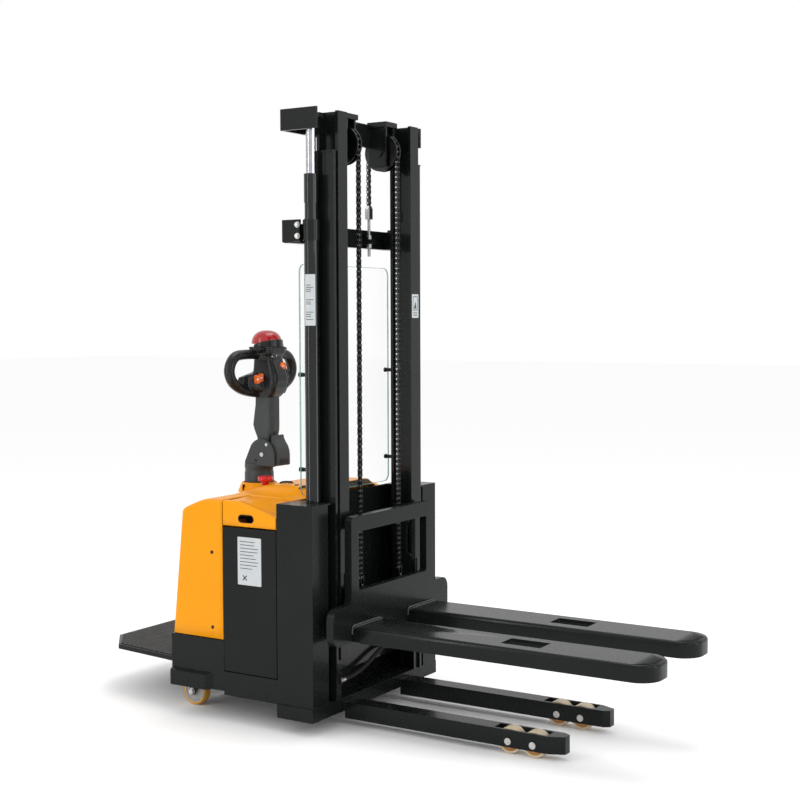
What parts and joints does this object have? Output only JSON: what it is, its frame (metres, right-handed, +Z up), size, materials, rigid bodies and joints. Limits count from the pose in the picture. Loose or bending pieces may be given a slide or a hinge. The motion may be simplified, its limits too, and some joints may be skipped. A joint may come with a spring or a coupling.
{
  "type": "walkie stacker",
  "caption": "Rider-type powered walkie stacker with straddle legs, duplex mast, fork carriage, tiller and fold-down stand-on platform.",
  "frame": {"origin": "on the floor, under the middle of the truck's bounding box", "axes": "+X forwards along the forks, +Y to the operator's left when facing the forks, +Z up"},
  "size_m": [2.364, 0.894, 2.242],
  "materials": {
    "frame_paint": "semi-gloss black paint",
    "mast_paint": "satin black paint",
    "cover_paint": "gloss yellow-orange paint",
    "chrome_rod": "polished hard chrome",
    "bright_zinc": "bright zinc plate",
    "roller_steel": "oiled turned steel",
    "chain_steel": "oiled dark steel",
    "clear_sheet": "clear polycarbonate",
    "roller_nylon": "cream polyurethane",
    "caster_poly": "amber polyurethane",
    "tyre_poly": "dark polyurethane tyre",
    "hose_rubber": "ribbed black rubber",
    "mat_rubber": "studded black rubber",
    "tiller_cast": "charcoal painted casting",
    "grip_plastic": "grained black plastic",
    "red_plastic": "moulded red plastic",
    "key_plastic": "moulded orange plastic",
    "battery_case": "moulded dark plastic",
    "motor_paint": "grey painted casting"
  },
  "bodies": {
    "chassis": {"base_frame": "frame_paint", "mast_housing": "frame_paint", "leg_left": "frame_paint", "leg_right": "frame_paint", "roller_axles": "bright_zinc", "rear_cover": "cover_paint", "side_cover_left": "cover_paint", "side_cover_right": "cover_paint", "door_left": "frame_paint", "door_right": "frame_paint", "console": "cover_paint", "battery": "battery_case", "hydraulic_unit": "motor_paint", "controller": "motor_paint", "trim_fasteners": "bright_zinc", "outer_upright_left": "mast_paint", "outer_upright_right": "mast_paint", "outer_crossbars": "mast_paint", "cylinder_barrels": "mast_paint", "cylinder_clamps": "mast_paint", "chain_anchors": "bright_zinc", "hydraulic_hose": "hose_rubber", "screen": "clear_sheet", "platform_hinge": "frame_paint"},
    "inner_mast": {"inner_upright_left": "mast_paint", "inner_upright_right": "mast_paint", "inner_crossmembers": "mast_paint", "piston_rods": "chrome_rod", "chains_rear": "chain_steel"},
    "carriage": {"carriage_frame": "frame_paint", "fork_left": "frame_paint", "fork_right": "frame_paint", "chains_front": "chain_steel"},
    "sheaves": {"chain_sheaves": "roller_steel"},
    "outer_guides": {"outer_guide_rollers": "roller_steel"},
    "inner_guides": {"inner_guide_rollers": "roller_steel"},
    "carriage_upper": {"carriage_rollers_upper": "roller_steel"},
    "carriage_lower": {"carriage_rollers_lower": "roller_steel"},
    "steering": {"drive_unit": "motor_paint", "tiller_base": "tiller_cast"},
    "drive": {"drive_wheel": "tyre_poly"},
    "tiller": {"tiller_arm": "tiller_cast", "tiller_head": "grip_plastic"},
    "throttle": {"thumb_throttle": "grip_plastic"},
    "belly": {"belly_button": "red_plastic"},
    "lift_key": {"lift_button": "key_plastic"},
    "lower_key": {"lower_button": "key_plastic"},
    "horn_key": {"horn_button": "key_plastic"},
    "slow_key": {"slow_button": "key_plastic"},
    "load_left_rear": {"load_roller_left_rear": "roller_nylon"},
    "load_left_front": {"load_roller_left_front": "roller_nylon"},
    "load_right_rear": {"load_roller_right_rear": "roller_nylon"},
    "load_right_front": {"load_roller_right_front": "roller_nylon"},
    "swivel_left": {"caster_fork_left": "frame_paint"},
    "swivel_right": {"caster_fork_right": "frame_paint"},
    "caster_left": {"caster_wheel_left": "caster_poly"},
    "caster_right": {"caster_wheel_right": "caster_poly"},
    "deck": {"platform": "frame_paint", "platform_mat": "mat_rubber"},
    "estop": {"estop_knob": "red_plastic"}
  },
  "joints": [
    {"name": "mast_lift", "type": "slide", "parent": "chassis", "child": "inner_mast", "axis": [0, 0, 1], "range_m": [-0.143, 1.307], "deforming": ["chains_rear"]},
    {"name": "carriage_lift", "type": "slide", "parent": "inner_mast", "child": "carriage", "axis": [0, 0, 1], "range_m": [-0.143, 1.307], "deforming": ["chains_front"]},
    {"name": "sheave_spin", "type": "hinge", "parent": "inner_mast", "child": "sheaves", "pos_m": [-0.096, 0, 2.128], "axis": [0, 1, 0], "range_deg": [-1212, 186]},
    {"name": "outer_guide_spin", "type": "hinge", "parent": "chassis", "child": "outer_guides", "pos_m": [-0.07, 0, 2.045], "axis": [0, 1, 0], "range_deg": [-296, 2218]},
    {"name": "inner_guide_spin", "type": "hinge", "parent": "inner_mast", "child": "inner_guides", "pos_m": [-0.07, 0, 0.298], "axis": [0, 1, 0], "range_deg": [-3678, 456]},
    {"name": "carriage_upper_spin", "type": "hinge", "parent": "carriage", "child": "carriage_upper", "pos_m": [-0.07, 0, 0.7], "axis": [0, 1, 0], "range_deg": [-296, 2218]},
    {"name": "carriage_lower_spin", "type": "hinge", "parent": "carriage", "child": "carriage_lower", "pos_m": [-0.07, 0, 0.43], "axis": [0, 1, 0], "range_deg": [-2218, 296]},
    {"name": "steer", "type": "hinge", "parent": "chassis", "child": "steering", "pos_m": [-0.604, 0, 0.095], "axis": [0, 0, 1], "range_deg": [-90, 90]},
    {"name": "drive_spin", "type": "hinge", "parent": "steering", "child": "drive", "pos_m": [-0.604, 0, 0.095], "axis": [0, 1, 0], "continuous": true},
    {"name": "tiller_tilt", "type": "hinge", "parent": "steering", "child": "tiller", "pos_m": [-0.556, 0, 0.96], "axis": [0, -1, 0], "range_deg": [0, 75], "stiffness_Nm_per_rad": 30, "springref_deg": -28.65},
    {"name": "throttle_turn", "type": "hinge", "parent": "tiller", "child": "throttle", "pos_m": [-0.546, 0, 1.377], "axis": [0, 1, 0], "range_deg": [-20, 20], "stiffness_Nm_per_rad": 1},
    {"name": "belly_press", "type": "slide", "parent": "tiller", "child": "belly", "axis": [0, 0, -1], "range_m": [0, 0.006], "stiffness_N_per_m": 1500, "springref_m": -0.004},
    {"name": "lift_press", "type": "slide", "parent": "tiller", "child": "lift_key", "axis": [-1, 0, 0], "range_m": [0, 0.003], "stiffness_N_per_m": 600, "springref_m": -0.004},
    {"name": "lower_press", "type": "slide", "parent": "tiller", "child": "lower_key", "axis": [-1, 0, 0], "range_m": [0, 0.003], "stiffness_N_per_m": 600, "springref_m": -0.004},
    {"name": "horn_press", "type": "slide", "parent": "tiller", "child": "horn_key", "axis": [-1, 0, 0], "range_m": [0, 0.003], "stiffness_N_per_m": 600, "springref_m": -0.004},
    {"name": "slow_press", "type": "slide", "parent": "tiller", "child": "slow_key", "axis": [-1, 0, 0], "range_m": [0, 0.003], "stiffness_N_per_m": 600, "springref_m": -0.004},
    {"name": "estop_press", "type": "slide", "parent": "chassis", "child": "estop", "axis": [0, 0, -1], "range_m": [0, 0.004], "stiffness_N_per_m": 1200, "springref_m": -0.004},
    {"name": "load_left_rear_spin", "type": "hinge", "parent": "chassis", "child": "load_left_rear", "pos_m": [0.634, 0.192, 0.046], "axis": [0, 1, 0], "continuous": true},
    {"name": "load_left_front_spin", "type": "hinge", "parent": "chassis", "child": "load_left_front", "pos_m": [0.728, 0.192, 0.046], "axis": [0, 1, 0], "continuous": true},
    {"name": "caster_left_swivel", "type": "hinge", "parent": "chassis", "child": "swivel_left", "pos_m": [-0.658, 0.29, 0.11], "axis": [0, 0, 1], "continuous": true},
    {"name": "caster_left_spin", "type": "hinge", "parent": "swivel_left", "child": "caster_left", "pos_m": [-0.693, 0.29, 0.056], "axis": [0, 1, 0], "continuous": true},
    {"name": "load_right_rear_spin", "type": "hinge", "parent": "chassis", "child": "load_right_rear", "pos_m": [0.634, -0.192, 0.046], "axis": [0, 1, 0], "continuous": true},
    {"name": "load_right_front_spin", "type": "hinge", "parent": "chassis", "child": "load_right_front", "pos_m": [0.728, -0.192, 0.046], "axis": [0, 1, 0], "continuous": true},
    {"name": "caster_right_swivel", "type": "hinge", "parent": "chassis", "child": "swivel_right", "pos_m": [-0.658, -0.29, 0.11], "axis": [0, 0, 1], "continuous": true},
    {"name": "caster_right_spin", "type": "hinge", "parent": "swivel_right", "child": "caster_right", "pos_m": [-0.693, -0.29, 0.056], "axis": [0, 1, 0], "continuous": true},
    {"name": "platform_fold", "type": "hinge", "parent": "chassis", "child": "deck", "pos_m": [-0.718, 0, 0.187], "axis": [0, 1, 0], "range_deg": [0, 82]}
  ],
  "couplings": [
    {"joint": "carriage_lift", "follows": "mast_lift", "ratio": 1},
    {"joint": "sheave_spin", "follows": "mast_lift", "rad_per_m": -15.385},
    {"joint": "outer_guide_spin", "follows": "mast_lift", "rad_per_m": 28.818},
    {"joint": "inner_guide_spin", "follows": "mast_lift", "rad_per_m": -48.309},
    {"joint": "carriage_upper_spin", "follows": "mast_lift", "rad_per_m": 28.818},
    {"joint": "carriage_lower_spin", "follows": "mast_lift", "rad_per_m": -28.818}
  ]
}
